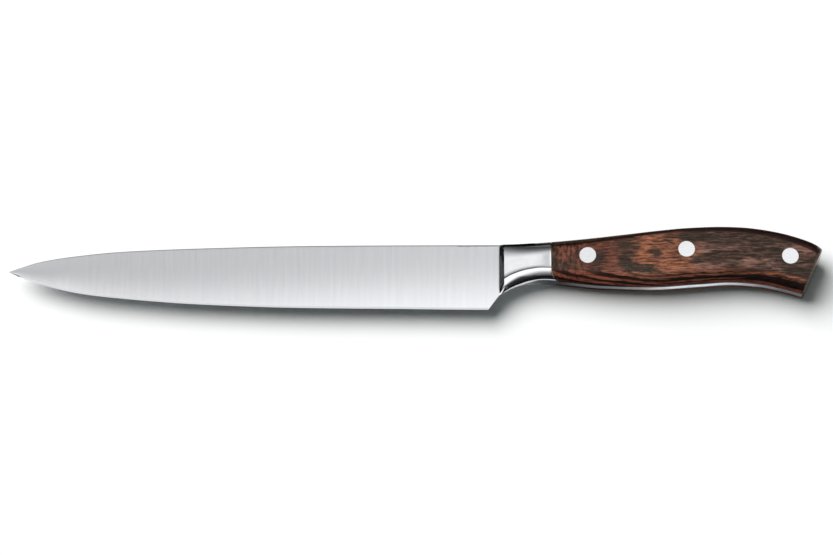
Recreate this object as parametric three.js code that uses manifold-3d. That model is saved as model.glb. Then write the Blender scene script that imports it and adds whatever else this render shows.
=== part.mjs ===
// A carving knife: a forged blade with its bolster and full tang in one piece, two wood scales
// and three two-part rivets. Sizes are in millimetres.
// The knife lies on its right side. X runs from the tip to the butt, Y from the cutting edge
// to the spine, and Z up through the thickness.
// The pieces are drawn about one point: x = 0 at the bolster's front, y = 0 on the spine line
// and z = 0 on the mid-plane. The last step moves the origin under the middle of the knife.

import * as THREE from 'three';
import { mergeVertices } from 'three/addons/utils/BufferGeometryUtils.js';
import Module from 'manifold-3d';

const wasm = await Module();
wasm.setup();

// Blade
const bladeLength = 200;
const bladeDepth = 27.6;
const spineThickness = 2.4;
const tipThickness = 1.0;
const bevelThickness = 0.5;
const bevelHeight = 0.8;
const heelSetback = 4.8;
const stubLength = 3;

// Hilt: the bolster and the handle behind it
const hiltLength = 131.2;
const hiltDrop = 21.7;
const handleRise = 6.8;
const bolsterLength = 20.8;
const bolsterFrontThickness = 6.6;
const bolsterRearThickness = 14;
const handleThickness = 19;
const buttThickness = 15.6;
const swellStart = 72;
const swellEnd = 91;
const buttLean = 8.2;
const buttRounding = 0.5;
const bolsterShoulderHeight = 5.2;
const handleShoulderHeight = 4;
const undersideHeight = 4.6;
const frontKeelWidth = 2;
const rearKeelWidth = 4.8;
const tangThickness = 3;

// Step from the blade up to the bolster, and the joint behind the bolster
const stepLead = 0.5;
const stepRun = 1.7;
const stepInset = 0.05;
const jointGap = 0.3;
const scaleCornerRadius = 3.7;

// Rivets: a post pressed into a sleeve, each with a head let into its scale
const rivetHeadDiameter = 6.8;
const rivetHeadHeight = 2.6;
const rivetSleeveDiameter = 4.8;
const rivetPostDiameter = 3;
const rivetEndRoom = 1;
const rivetClearance = 0.1;

// How far a cutting body runs past what it cuts
const overrun = 5;

// Blade outline: share of the blade's length from the bolster, share of its depth below the spine line
const spineShares = [
  [-0.02, 0], [0.2, 0.001], [0.405, 0.011], [0.61, 0.047], [0.775, 0.101],
  [0.855, 0.161], [0.935, 0.255], [0.977, 0.35], [1, 0.411],
];
const edgeShares = [
  [-0.02, 1], [0.024, 1], [0.205, 0.987], [0.405, 0.971], [0.61, 0.917], [0.7735, 0.8225],
  [0.855, 0.748], [0.9365, 0.6], [0.977, 0.49], [1, 0.411],
];

// Hilt outline: share of the hilt's length, and share of its rise above or drop below the spine line
const backShares = [
  [-0.01, 0.005], [0.012, 0.007], [0.093, 0.06], [0.1585, 0.128], [0.2485, 0.27], [0.372, 0.51],
  [0.496, 0.768], [0.587, 0.93], [0.682, 1], [0.745, 0.97], [0.806, 0.853], [0.869, 0.637],
  [0.93, 0.31], [0.98, -0.09], [1, -0.37],
];
const bellyShares = [
  [-0.004, -0.991], [0.012, -0.917], [0.0373, -0.82], [0.0617, -0.76], [0.093, -0.719],
  [0.124, -0.7], [0.186, -0.737], [0.31, -0.8226], [0.465, -0.853], [0.62, -0.793],
  [0.714, -0.757], [0.806, -0.797], [0.869, -0.876], [0.9375, -1], [1, -1.13],
];

// Rivet places: share of the way from the bolster to the butt, and share of the depth below the back
const rivetShares = {
  front: [0.1332, 0.461],
  middle: [0.4964, 0.4595],
  rear: [0.8777, 0.46],
};

// The bevel's largest share of the blade's depth, and the share of its full depth below which the
// blade also thins out to the tip
const bevelShare = 0.25;
const slimShare = 0.5;

// Where the butt's lean begins, as a share of the hilt's length
const leanStartShare = 0.45;

// How the step swells: above 1 it starts flat on the blade and ends in a crisp edge
const stepPower = 1.6;

// The underside starts with a slight crease below the flat side
const creaseAngle = THREE.MathUtils.degToRad(15);

// Counts of facets
const bladeStations = 30;
const tipCrowding = 1.7;
const stepStations = 6;
const bolsterStations = 8;
const handleStations = 24;
const shoulderFacets = 5;
const undersideFacets = 6;
const cornerFacets = 8;
const roundFacets = 32;

// A smooth curve through points [x, value], which turns only at its own points
function smoothCurve(points) {
  const last = points.length - 1;
  const rise = (i) => (points[i + 1][1] - points[i][1]) / (points[i + 1][0] - points[i][0]);
  const slopes = points.map((point, i) => {
    if (i === 0) {
      return rise(0);
    }
    if (i === last) {
      return rise(last - 1);
    }
    if (rise(i - 1) * rise(i) <= 0) {
      return 0;
    }
    const before = point[0] - points[i - 1][0];
    const after = points[i + 1][0] - point[0];
    const [weightBefore, weightAfter] = [before + 2 * after, 2 * before + after];
    return (weightBefore + weightAfter) / (weightBefore / rise(i - 1) + weightAfter / rise(i));
  });
  return (x) => {
    let i = 0;
    while (i < last - 1 && x > points[i + 1][0]) {
      i += 1;
    }
    const width = points[i + 1][0] - points[i][0];
    const t = (x - points[i][0]) / width;
    const value = points[i][1] * (1 + 2 * t) * (1 - t) ** 2 + points[i + 1][1] * t ** 2 * (3 - 2 * t);
    return value + width * (slopes[i] * t * (1 - t) ** 2 - slopes[i + 1] * t ** 2 * (1 - t));
  };
}

const spineAt = smoothCurve(spineShares.map(([s, d]) => [s * bladeLength, -d * bladeDepth]));
const edgeAt = smoothCurve(edgeShares.map(([s, d]) => [s * bladeLength, -d * bladeDepth]));
const backAt = smoothCurve(backShares.map(([s, d]) => [s * hiltLength, d * handleRise]));
const bellyAt = smoothCurve(bellyShares.map(([s, d]) => [s * hiltLength, d * hiltDrop]));
const halfThicknessAt = smoothCurve([
  [stepRun, bolsterFrontThickness / 2],
  [bolsterLength, bolsterRearThickness / 2],
  [swellStart, handleThickness / 2],
  [swellEnd, handleThickness / 2],
  [hiltLength, buttThickness / 2],
]);
const shoulderAt = smoothCurve([
  [stepRun, bolsterShoulderHeight],
  [bolsterLength, bolsterShoulderHeight],
  [swellStart, handleShoulderHeight],
  [hiltLength, handleShoulderHeight],
]);
const halfKeelAt = smoothCurve([
  [stepRun, frontKeelWidth / 2],
  [bolsterLength, rearKeelWidth / 2],
  [hiltLength, rearKeelWidth / 2],
]);

// A solid for cutting and joining, from any closed geometry
function toSolid(geometry) {
  const bare = geometry.clone();
  bare.deleteAttribute('normal');
  bare.deleteAttribute('uv');
  const merged = mergeVertices(bare);
  const corners = merged.index.array;
  const triVerts = [];
  for (let i = 0; i < corners.length; i += 3) {
    const [a, b, c] = [corners[i], corners[i + 1], corners[i + 2]];
    if (a !== b && b !== c && c !== a) {
      triVerts.push(a, b, c);
    }
  }
  return new wasm.Manifold(new wasm.Mesh({
    numProp: 3,
    vertProperties: new Float32Array(merged.attributes.position.array),
    triVerts: new Uint32Array(triVerts),
  }));
}

// The geometry of a finished solid, with flat facets
function toGeometry(solid) {
  const mesh = solid.getMesh();
  const shared = new THREE.BufferGeometry();
  shared.setAttribute('position', new THREE.BufferAttribute(mesh.vertProperties, 3));
  shared.setIndex(new THREE.BufferAttribute(mesh.triVerts, 1));
  const geometry = shared.toNonIndexed();
  geometry.computeVertexNormals();
  return geometry;
}

// A closed body through rings of points. Each ring runs down the left side and back up the right
// side, so that a point and its mirror image close the ends in strips.
function loft(rings) {
  const count = rings[0].length;
  const positions = rings.flat(2);
  const index = [];
  for (let r = 0; r < rings.length - 1; r += 1) {
    for (let i = 0; i < count; i += 1) {
      const a = r * count + i;
      const b = r * count + ((i + 1) % count);
      index.push(a, b, a + count, b, b + count, a + count);
    }
  }
  const lastRing = (rings.length - 1) * count;
  for (let i = 0; i < count / 2 - 1; i += 1) {
    const far = count - 1 - i;
    index.push(i, far, i + 1, i + 1, far, far - 1);
    index.push(lastRing + i, lastRing + i + 1, lastRing + far);
    index.push(lastRing + i + 1, lastRing + far - 1, lastRing + far);
  }
  const geometry = new THREE.BufferGeometry();
  geometry.setAttribute('position', new THREE.Float32BufferAttribute(positions, 3));
  geometry.setIndex(index);
  return geometry;
}

// Half of a section, from the back down to the belly, closed by its mirror image
function mirrored(half) {
  return [...half, ...half.map(([x, y, z]) => [x, y, -z]).reverse()];
}

// A prism along Z, from an outline of [x, y] points
function prism(outline, bottom, top) {
  const shape = new THREE.Shape(outline.map(([x, y]) => new THREE.Vector2(x, y)));
  const geometry = new THREE.ExtrudeGeometry(shape, { depth: top - bottom, bevelEnabled: false });
  return geometry.translate(0, 0, bottom);
}

// A turned body about Z at a place on the handle, from a profile of [radius, z] points
function turned(profile, [x, y]) {
  const points = profile.map(([radius, z]) => new THREE.Vector2(radius, z));
  const geometry = new THREE.LatheGeometry(points, roundFacets);
  return geometry.rotateX(Math.PI / 2).translate(x, y, 0);
}

// Half of the blade's thickness at a height between the spine and the top of the bevel
function bladeHalfAt(spineHalf, spine, shoulder, y) {
  const share = THREE.MathUtils.clamp((spine - y) / (spine - shoulder), 0, 1);
  return THREE.MathUtils.lerp(spineHalf, bevelThickness / 2, share);
}

// The blade tapers from the bolster to the tip and from the spine to the edge
function makeBladeBlank() {
  const rings = [];
  for (let i = 0; i < bladeStations; i += 1) {
    const share = 1 - (1 - i / bladeStations) ** tipCrowding;
    const reach = THREE.MathUtils.lerp(-stubLength, bladeLength, share);
    const spine = spineAt(reach);
    const edge = edgeAt(reach);
    const bevel = Math.min(bevelHeight, (spine - edge) * bevelShare);
    const fineness = Math.min(1, (spine - edge) / (bladeDepth * slimShare));
    const spineHalf = (THREE.MathUtils.lerp(spineThickness, tipThickness, share) / 2) * fineness;
    const bevelHalf = Math.min(bevelThickness / 2, spineHalf / 2);
    rings.push([
      [-reach, spine, spineHalf],
      [-reach, edge + bevel, bevelHalf],
      [-reach, edge, 0],
      [-reach, edge + bevel, -bevelHalf],
      [-reach, spine, -spineHalf],
    ]);
  }
  return closeToPoint(rings, [-bladeLength, spineAt(bladeLength), 0]);
}

// A body through rings that starts with a flat end and closes to a point
function closeToPoint(rings, point) {
  const count = rings[0].length;
  const index = [];
  for (let r = 0; r < rings.length - 1; r += 1) {
    for (let i = 0; i < count; i += 1) {
      const a = r * count + i;
      const b = r * count + ((i + 1) % count);
      index.push(a, a + count, b, b, a + count, b + count);
    }
  }
  const lastRing = (rings.length - 1) * count;
  const apex = rings.length * count;
  for (let i = 0; i < count; i += 1) {
    index.push(lastRing + i, apex, lastRing + ((i + 1) % count));
  }
  for (let i = 1; i < count - 1; i += 1) {
    index.push(0, i, i + 1);
  }
  const geometry = new THREE.BufferGeometry();
  geometry.setAttribute('position', new THREE.Float32BufferAttribute([...rings.flat(2), ...point], 3));
  geometry.setIndex(index);
  return geometry;
}

// Half of the hilt's section: a rounded shoulder, a flat side, and a curved underside that starts
// at a crease and ends at a narrow flat keel
function hiltHalfSection(along, back, belly) {
  const half = [];
  const halfThickness = halfThicknessAt(along);
  const halfBack = Math.min(tangThickness, halfThickness) / 2;
  const halfKeel = halfKeelAt(along);
  const shoulder = shoulderAt(along);
  for (let i = 0; i <= shoulderFacets; i += 1) {
    const turn = (i / shoulderFacets) * (Math.PI / 2);
    const z = halfBack + (halfThickness - halfBack) * Math.sin(turn);
    half.push([back - shoulder * (1 - Math.cos(turn)), z]);
  }
  const across = (halfThickness - halfKeel) / Math.cos(creaseAngle);
  const down = undersideHeight / (1 - Math.sin(creaseAngle));
  for (let i = 0; i <= undersideFacets; i += 1) {
    const turn = THREE.MathUtils.lerp(creaseAngle, Math.PI / 2, i / undersideFacets);
    half.push([belly + down * (1 - Math.sin(turn)), halfKeel + across * Math.cos(turn)]);
  }
  return half;
}

// One ring of the hilt. Towards the butt the rings lean, so that the last one is the butt's face.
function hiltRing(along, inset) {
  const lean = buttLean * THREE.MathUtils.smoothstep(along, leanStartShare * hiltLength, hiltLength);
  const back = backAt(along);
  const belly = bellyAt(along - lean);
  const half = hiltHalfSection(along, back, belly);
  const middle = (back + belly) / 2;
  const shrink = 1 - inset / ((back - belly) / 2);
  return mirrored(half.map(([y, z]) => {
    const x = along - (lean * (back - y)) / (back - belly);
    return [x, middle + (y - middle) * shrink, z * shrink];
  }));
}

// One ring of the step: it starts just under the blade's skin and swells to the bolster's section
function stepRing(share) {
  const x = THREE.MathUtils.lerp(-stepLead, stepRun, share);
  const swell = share ** stepPower;
  const spine = spineAt(0);
  const belly = bellyAt(x);
  const shoulder = edgeAt(0) + bevelHeight;
  const half = hiltHalfSection(stepRun, backAt(x), belly);
  return mirrored(half.map(([y, z]) => {
    const low = THREE.MathUtils.clamp(y, belly + stepInset, spine - stepInset);
    const skin = Math.min(z, bladeHalfAt(spineThickness / 2, spine, shoulder, low)) - stepInset;
    return [x, THREE.MathUtils.lerp(low, y, swell), THREE.MathUtils.lerp(skin, z, swell)];
  }));
}

// The whole outer form of the bolster and handle
function makeHiltForm() {
  const rings = [];
  for (let i = 0; i < stepStations; i += 1) {
    rings.push(stepRing(i / stepStations));
  }
  for (let i = 0; i < bolsterStations; i += 1) {
    rings.push(hiltRing(THREE.MathUtils.lerp(stepRun, bolsterLength, i / bolsterStations), 0));
  }
  for (let i = 0; i < handleStations; i += 1) {
    const along = THREE.MathUtils.lerp(bolsterLength, hiltLength - buttRounding, i / (handleStations - 1));
    rings.push(hiltRing(along, 0));
  }
  rings.push(hiltRing(hiltLength, buttRounding));
  return loft(rings);
}

// Outline of what lies behind the bolster, with a rounded corner at the lower front.
// A gap draws it back all round, which leaves the joint between metal and wood.
function behindBolster(gap) {
  const front = bolsterLength + gap;
  const centreX = bolsterLength + jointGap + scaleCornerRadius;
  const centreY = bellyAt(centreX) + scaleCornerRadius;
  const radius = centreX - front;
  const high = handleRise + overrun;
  const low = -hiltDrop - overrun;
  const rear = hiltLength + overrun;
  const outline = [[rear, low], [rear, high], [front, high]];
  for (let i = 0; i <= cornerFacets; i += 1) {
    const turn = Math.PI + (i / cornerFacets) * (Math.PI / 2);
    outline.push([centreX + radius * Math.cos(turn), centreY + radius * Math.sin(turn)]);
  }
  outline.push([centreX, low]);
  return outline;
}

// Outline of what is cut away behind the heel, up to the bolster's underside
function belowChoil() {
  const top = [-stepLead, bellyAt(-stepLead)];
  const heel = [-heelSetback, -bladeDepth];
  const below = [heel[0] * 2 - top[0], heel[1] * 2 - top[1]];
  const inside = stubLength + overrun;
  return [below, [inside, below[1]], [inside, bellyAt(stubLength) + overrun], top];
}

const hiltForm = toSolid(makeHiltForm());
const halfTang = tangThickness / 2;
const halfWidest = handleThickness / 2 + overrun;

// Places and seats of the rivets
const rivets = Object.entries(rivetShares).map(([name, [alongShare, depthShare]]) => {
  const x = THREE.MathUtils.lerp(bolsterLength, hiltLength, alongShare);
  const y = THREE.MathUtils.lerp(backAt(x), bellyAt(x), depthShare);
  return { name, place: [x, y], seat: halfThicknessAt(x) - rivetHeadHeight };
});

function makeForging() {
  const aroundTang = new THREE.BoxGeometry(
    hiltLength + 2 * overrun,
    2 * (hiltDrop + overrun),
    tangThickness,
  ).translate(hiltLength / 2, 0, 0);
  const wood = toSolid(prism(behindBolster(0), -halfWidest, halfWidest));
  const metal = hiltForm.subtract(wood.subtract(toSolid(aroundTang)));
  const choil = toSolid(prism(belowChoil(), -halfWidest, halfWidest));
  let forging = toSolid(makeBladeBlank()).subtract(choil).add(metal);
  const radius = rivetSleeveDiameter / 2 + rivetClearance;
  for (const { place } of rivets) {
    const hole = [[0, -tangThickness], [radius, -tangThickness], [radius, tangThickness], [0, tangThickness]];
    forging = forging.subtract(toSolid(turned(hole, place)));
  }
  return forging;
}

// A scale on one side: 1 is the left, on top, and -1 the right, underneath
function makeScale(side) {
  const [bottom, top] = side > 0 ? [halfTang, halfWidest] : [-halfWidest, -halfTang];
  let scale = hiltForm.intersect(toSolid(prism(behindBolster(jointGap), bottom, top)));
  const shank = rivetSleeveDiameter / 2 + rivetClearance;
  const head = rivetHeadDiameter / 2 + rivetClearance;
  for (const { place, seat } of rivets) {
    const hole = [[0, 0], [shank, 0], [shank, seat], [head, seat], [head, halfWidest], [0, halfWidest]];
    const stood = side > 0 ? hole : hole.map(([radius, z]) => [radius, -z]).reverse();
    scale = scale.subtract(toSolid(turned(stood, place)));
  }
  return scale;
}

// The post's head is let into the left scale, and its pin fills the sleeve
function makePost({ place, seat }) {
  const head = rivetHeadDiameter / 2;
  const pin = rivetPostDiameter / 2;
  const end = -seat + rivetEndRoom;
  const profile = [[0, end], [pin, end], [pin, seat], [head, seat], [head, halfWidest], [0, halfWidest]];
  return toSolid(turned(profile, place)).intersect(hiltForm);
}

// The sleeve's head is let into the right scale, and its tube runs through to the left head
function makeSleeve({ place, seat }) {
  const head = rivetHeadDiameter / 2;
  const tube = rivetSleeveDiameter / 2;
  const bore = rivetPostDiameter / 2 + rivetClearance;
  const end = seat - rivetClearance;
  const profile = [
    [0, -halfWidest], [head, -halfWidest], [head, -seat], [tube, -seat], [tube, end], [bore, end],
    [bore, -seat], [0, -seat],
  ];
  return toSolid(turned(profile, place)).intersect(hiltForm);
}

const forgedSteel = () => new THREE.MeshStandardMaterial({ color: 0xc9cccf, metalness: 1, roughness: 0.3 });
const rivetSteel = () => new THREE.MeshStandardMaterial({ color: 0xdfe0e2, metalness: 1, roughness: 0.4 });
const laminatedWood = () => new THREE.MeshStandardMaterial({ color: 0x5c382b, metalness: 0, roughness: 0.55 });

const pieces = new THREE.Group();

function addPiece(name, solid, material) {
  const mesh = new THREE.Mesh(toGeometry(solid), material);
  mesh.name = name;
  pieces.add(mesh);
}

addPiece('forged_blade', makeForging(), forgedSteel());
addPiece('left_scale', makeScale(1), laminatedWood());
addPiece('right_scale', makeScale(-1), laminatedWood());
for (const rivet of rivets) {
  addPiece(`${rivet.name}_rivet_post`, makePost(rivet), rivetSteel());
  addPiece(`${rivet.name}_rivet_sleeve`, makeSleeve(rivet), rivetSteel());
}

// The origin goes under the middle of the knife, on the surface that it lies on
const extent = new THREE.Box3().setFromObject(pieces);
const centre = extent.getCenter(new THREE.Vector3());
pieces.position.set(-centre.x, -centre.y, -extent.min.z);

const knife = new THREE.Group();
knife.name = 'carving_knife';
knife.add(pieces);

export default knife;
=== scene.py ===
# A carving knife lying on a pale floor: a satin blade forged in one with a polished bolster and
# a full tang, two scales of laminated wood, and three steel rivets.

import itertools
import math

import bmesh
import bpy
import numpy as np
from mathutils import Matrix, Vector


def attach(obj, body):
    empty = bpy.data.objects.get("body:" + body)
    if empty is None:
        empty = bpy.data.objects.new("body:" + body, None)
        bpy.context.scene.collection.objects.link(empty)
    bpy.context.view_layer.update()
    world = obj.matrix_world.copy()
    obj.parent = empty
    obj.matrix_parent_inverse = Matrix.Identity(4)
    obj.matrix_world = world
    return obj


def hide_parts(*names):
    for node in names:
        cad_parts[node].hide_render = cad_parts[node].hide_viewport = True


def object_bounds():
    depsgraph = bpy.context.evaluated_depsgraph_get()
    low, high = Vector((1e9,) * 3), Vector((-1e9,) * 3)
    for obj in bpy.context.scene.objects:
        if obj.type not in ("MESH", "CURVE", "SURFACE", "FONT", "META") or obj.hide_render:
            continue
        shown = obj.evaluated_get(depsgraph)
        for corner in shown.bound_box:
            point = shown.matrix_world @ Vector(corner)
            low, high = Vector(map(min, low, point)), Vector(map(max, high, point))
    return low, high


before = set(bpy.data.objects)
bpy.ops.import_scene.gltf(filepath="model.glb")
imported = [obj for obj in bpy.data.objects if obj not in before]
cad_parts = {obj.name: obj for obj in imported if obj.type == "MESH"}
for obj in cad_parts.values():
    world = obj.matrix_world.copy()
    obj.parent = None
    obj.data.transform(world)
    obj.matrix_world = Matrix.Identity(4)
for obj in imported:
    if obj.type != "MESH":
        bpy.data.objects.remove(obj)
cad_low, cad_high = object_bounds()

MM = 0.001

# Blade
BLADE_LENGTH = 200 * MM
BLADE_DEPTH = 27.6 * MM
SPINE_THICKNESS = 2.4 * MM
TIP_THICKNESS = 1.0 * MM
SPINE_ROUNDING = 0.45 * MM
BEVEL_THICKNESS = 0.5 * MM
BEVEL_HEIGHT = 0.8 * MM
BLADE_CROWN = 0.25 * MM
HEEL_SETBACK = 4.8 * MM
STUB_LENGTH = 3 * MM
HEEL_BLEND = 20 * MM
EDGE_STEP = 0.01 * MM

# Hilt: the bolster and the handle behind it
HILT_LENGTH = 131.2 * MM
HILT_DROP = 21.7 * MM
HANDLE_RISE = 6.8 * MM
BOLSTER_LENGTH = 20.8 * MM
BOLSTER_FRONT_THICKNESS = 6.6 * MM
BOLSTER_REAR_THICKNESS = 14 * MM
HANDLE_THICKNESS = 19 * MM
BUTT_THICKNESS = 15.6 * MM
SWELL_START = 72 * MM
SWELL_END = 91 * MM
BUTT_LEAN = 8.2 * MM
BUTT_ROUNDING = 0.5 * MM
BOLSTER_SHOULDER_HEIGHT = 6.6 * MM
HANDLE_SHOULDER_HEIGHT = 4 * MM
FRONT_KEEL_WIDTH = 2 * MM
REAR_KEEL_WIDTH = 4.8 * MM
TANG_THICKNESS = 3 * MM

# Step from the blade up to the bolster, and the joint between the bolster and the scales
STEP_LEAD = 0.4 * MM
STEP_RUN = 1.7 * MM
STEP_FILLET = 0.1
CORNER_DEPTH = 4 * MM
CORNER_RISE = 3.7 * MM
JOINT_GAP = 0.12 * MM
METAL_EDGE_ROUNDING = 0.25 * MM
WOOD_EDGE_ROUNDING = 0.1 * MM

# The lip along the top of the bolster's underside
LIP_FRONT_HEIGHT = 0.27 * MM
LIP_REAR_HEIGHT = 0.14 * MM
LIP_FRONT_WIDTH = 0.85 * MM
LIP_REAR_WIDTH = 0.42 * MM

# Rivets
RIVET_HEAD_RADIUS = 3.4 * MM
RIVET_HEAD_HEIGHT = 2.6 * MM
RIVET_HEAD_CHAMFER = 0.06 * MM
RIVET_PROUD = 0.02 * MM
RIVET_SLEEVE_RADIUS = 2.4 * MM
RIVET_POST_RADIUS = 1.5 * MM
RIVET_END_ROOM = 1 * MM
RIVET_CLEARANCE = 0.04 * MM

# Outlines as shares of a length and of a height: see share_curve
SPINE_SHARES = [
    (-0.02, 0), (0.2, 0.001), (0.405, 0.011), (0.61, 0.047), (0.775, 0.101),
    (0.855, 0.161), (0.935, 0.255), (0.977, 0.35), (1, 0.411),
]
EDGE_SHARES = [
    (-0.02, 1), (0.024, 1), (0.205, 0.987), (0.405, 0.971), (0.61, 0.917), (0.7735, 0.8225),
    (0.855, 0.748), (0.9365, 0.6), (0.977, 0.49), (1, 0.411),
]
BACK_SHARES = [
    (-0.01, 0.005), (0.012, 0.007), (0.093, 0.06), (0.1585, 0.128), (0.2485, 0.27), (0.372, 0.51),
    (0.496, 0.768), (0.587, 0.93), (0.682, 1), (0.745, 0.97), (0.806, 0.853), (0.869, 0.637),
    (0.93, 0.31), (0.98, -0.09), (1, -0.37),
]
BELLY_SHARES = [
    (-0.004, -1), (0.012, -0.933), (0.0373, -0.837), (0.0617, -0.778), (0.093, -0.737),
    (0.124, -0.718), (0.186, -0.744), (0.31, -0.8226), (0.465, -0.853), (0.62, -0.793),
    (0.714, -0.757), (0.806, -0.797), (0.869, -0.876), (0.9375, -1), (1, -1.13),
]
RIVET_SHARES = {"front": (0.1332, 0.461), "middle": (0.4964, 0.4595), "rear": (0.8777, 0.46)}
# The bevel's largest share of the blade's depth, the share of the full depth below which the blade
# thins towards the point, where the butt's lean begins, and the crease's place down the blade
BEVEL_SHARE = 0.25
SLIM_SHARE = 0.5
LEAN_START_SHARE = 0.45
CREASE_SHARE = 0.612
# The underside turns down from the crease in a broad arc, and from the tight turn on in an arc
# whose radius is a share of the broad one's
CREASE_TURN = math.radians(5)
TIGHT_TURN = math.radians(54)
TIGHT_RADIUS = 0.24

# The drawing's own zero in the frame: the bolster's front, the spine line and the mid-plane
ORIGIN = np.array([
    cad_low.x + BLADE_LENGTH,
    cad_low.y + BLADE_DEPTH,
    (cad_low.z + cad_high.z) / 2,
])


def mix(a, b, share):
    return a + (b - a) * share


def smoothstep(low, high, value):
    share = np.clip((value - low) / (high - low), 0, 1)
    return share * share * (3 - 2 * share)


def smooth_curve(points):
    """A curve through points (x, value) that turns only at its own points."""
    xs, values = (np.array(column, float) for column in zip(*points))
    widths = np.diff(xs)
    rises = np.diff(values) / widths
    slopes = np.zeros(len(xs))
    slopes[0], slopes[-1] = rises[0], rises[-1]
    for i in range(1, len(xs) - 1):
        if rises[i - 1] * rises[i] > 0:
            before = widths[i - 1] + 2 * widths[i]
            after = 2 * widths[i - 1] + widths[i]
            slopes[i] = (before + after) / (before / rises[i - 1] + after / rises[i])

    def curve(x):
        x = np.clip(x, xs[0], xs[-1])
        i = np.clip(np.searchsorted(xs, x) - 1, 0, len(xs) - 2)
        t = (x - xs[i]) / widths[i]
        value = values[i] * (1 + 2 * t) * (1 - t) ** 2 + values[i + 1] * t ** 2 * (3 - 2 * t)
        return value + widths[i] * (slopes[i] * t * (1 - t) ** 2 - slopes[i + 1] * t ** 2 * (1 - t))

    return curve


def share_curve(shares, length, height):
    return smooth_curve([(s * length, d * height) for s, d in shares])


spine_at = share_curve(SPINE_SHARES, BLADE_LENGTH, -BLADE_DEPTH)
edge_at = share_curve(EDGE_SHARES, BLADE_LENGTH, -BLADE_DEPTH)
back_at = share_curve(BACK_SHARES, HILT_LENGTH, HANDLE_RISE)
belly_at = share_curve(BELLY_SHARES, HILT_LENGTH, HILT_DROP)
half_thickness_at = smooth_curve([
    (STEP_RUN, BOLSTER_FRONT_THICKNESS / 2),
    (BOLSTER_LENGTH, BOLSTER_REAR_THICKNESS / 2),
    (SWELL_START, HANDLE_THICKNESS / 2),
    (SWELL_END, HANDLE_THICKNESS / 2),
    (HILT_LENGTH, BUTT_THICKNESS / 2),
])
shoulder_at = smooth_curve([
    (STEP_RUN, BOLSTER_SHOULDER_HEIGHT),
    (BOLSTER_LENGTH, BOLSTER_SHOULDER_HEIGHT),
    (SWELL_START, HANDLE_SHOULDER_HEIGHT),
    (HILT_LENGTH, HANDLE_SHOULDER_HEIGHT),
])
crease_height_at = smooth_curve([
    (STEP_RUN, 4.65 * MM), (4.1 * MM, 4.4 * MM), (6.3 * MM, 4.13 * MM), (10.2 * MM, 3.99 * MM),
    (14.3 * MM, 3.84 * MM), (BOLSTER_LENGTH, 3.7 * MM), (36 * MM, 4.6 * MM), (HILT_LENGTH, 4.6 * MM),
])
keel_turn_at = smooth_curve([
    (STEP_RUN, math.radians(32)), (8 * MM, math.radians(28)), (14 * MM, math.radians(12)),
    (BOLSTER_LENGTH, 0), (HILT_LENGTH, 0),
])
half_keel_at = smooth_curve([
    (STEP_RUN, FRONT_KEEL_WIDTH / 2),
    (BOLSTER_LENGTH, REAR_KEEL_WIDTH / 2),
    (HILT_LENGTH, REAR_KEEL_WIDTH / 2),
])

# Rows of points down the left half of a section, from the back's middle to the keel's middle.
# A row's height is made of four heights: the back, the shoulder's foot, the crease and the keel.
SHOULDER_ROWS = 14
FLAT_ROWS = 10
UNDERSIDE_ROWS = 18
FIRST_FLAT = 1 + SHOULDER_ROWS
CREASE_ROW = FIRST_FLAT + FLAT_ROWS
KEEL_ROW = CREASE_ROW + UNDERSIDE_ROWS - 1
ROWS = KEEL_ROW + 3
TANG_TOP = 1
TANG_LOW = ROWS - 2
shoulder_rows = slice(1, FIRST_FLAT)
flat_rows = slice(FIRST_FLAT, CREASE_ROW)
under_rows = slice(CREASE_ROW, KEEL_ROW + 1)
keel_rows = slice(KEEL_ROW + 1, ROWS)
LIP_ROWS = {CREASE_ROW - 2: 1.0, CREASE_ROW - 1: 0.5}
shoulder_turns = np.linspace(0, math.pi / 2, SHOULDER_ROWS)
flat_shares = (np.arange(FLAT_ROWS) + 1) / (FLAT_ROWS + 1)
under_steps = np.linspace(0, 1, UNDERSIDE_ROWS)
EDGE_RINGS = 5
BUTT_RINGS = 6
JOINT_HALVINGS = 40
LEAN_ROUNDS = 12


def underside_fall(turn):
    """How far the underside falls and draws in while it turns down from the crease: a broad arc,
    then a tighter one. Both are in radii of the broad arc."""
    broad = np.minimum(turn, TIGHT_TURN)
    tight = np.maximum(turn, TIGHT_TURN)
    fall = np.sin(broad) - math.sin(CREASE_TURN)
    draw = math.cos(CREASE_TURN) - np.cos(broad)
    fall = fall + TIGHT_RADIUS * (np.sin(tight) - math.sin(TIGHT_TURN))
    return fall, draw + TIGHT_RADIUS * (math.cos(TIGHT_TURN) - np.cos(tight))


def underside_shares(x):
    """The height and the width left at each row of the underside, from 1 down to 0 at the keel."""
    last_turn = math.pi / 2 - np.broadcast_to(keel_turn_at(x), ROWS)[under_rows]
    fall, draw = underside_fall(mix(CREASE_TURN, last_turn, under_steps))
    whole_fall, whole_draw = underside_fall(last_turn)
    return 1 - fall / whole_fall, 1 - draw / whole_draw


def heights(x, back, shoulder, crease, keel):
    """The height of every row at x. Each argument is a number, or an array with a value a row."""
    back, shoulder, crease, keel = (np.broadcast_to(v, ROWS) for v in (back, shoulder, crease, keel))
    ys = np.empty(ROWS)
    ys[0] = back[0]
    ys[shoulder_rows] = mix(back[shoulder_rows], shoulder[shoulder_rows], 1 - np.cos(shoulder_turns))
    ys[flat_rows] = mix(shoulder[flat_rows], crease[flat_rows], flat_shares)
    ys[under_rows] = mix(keel[under_rows], crease[under_rows], underside_shares(x)[0])
    ys[keel_rows] = keel[keel_rows]
    return ys


def gather_lip_rows(ys, crease, width, weight=1.0):
    """Moves the two rows above the crease to the lip's top and middle."""
    crease = np.broadcast_to(crease, ROWS)
    width = np.broadcast_to(width, ROWS)
    for row, share in LIP_ROWS.items():
        ys[row] = mix(ys[row], crease[row] + width[row] * share, weight)


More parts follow.
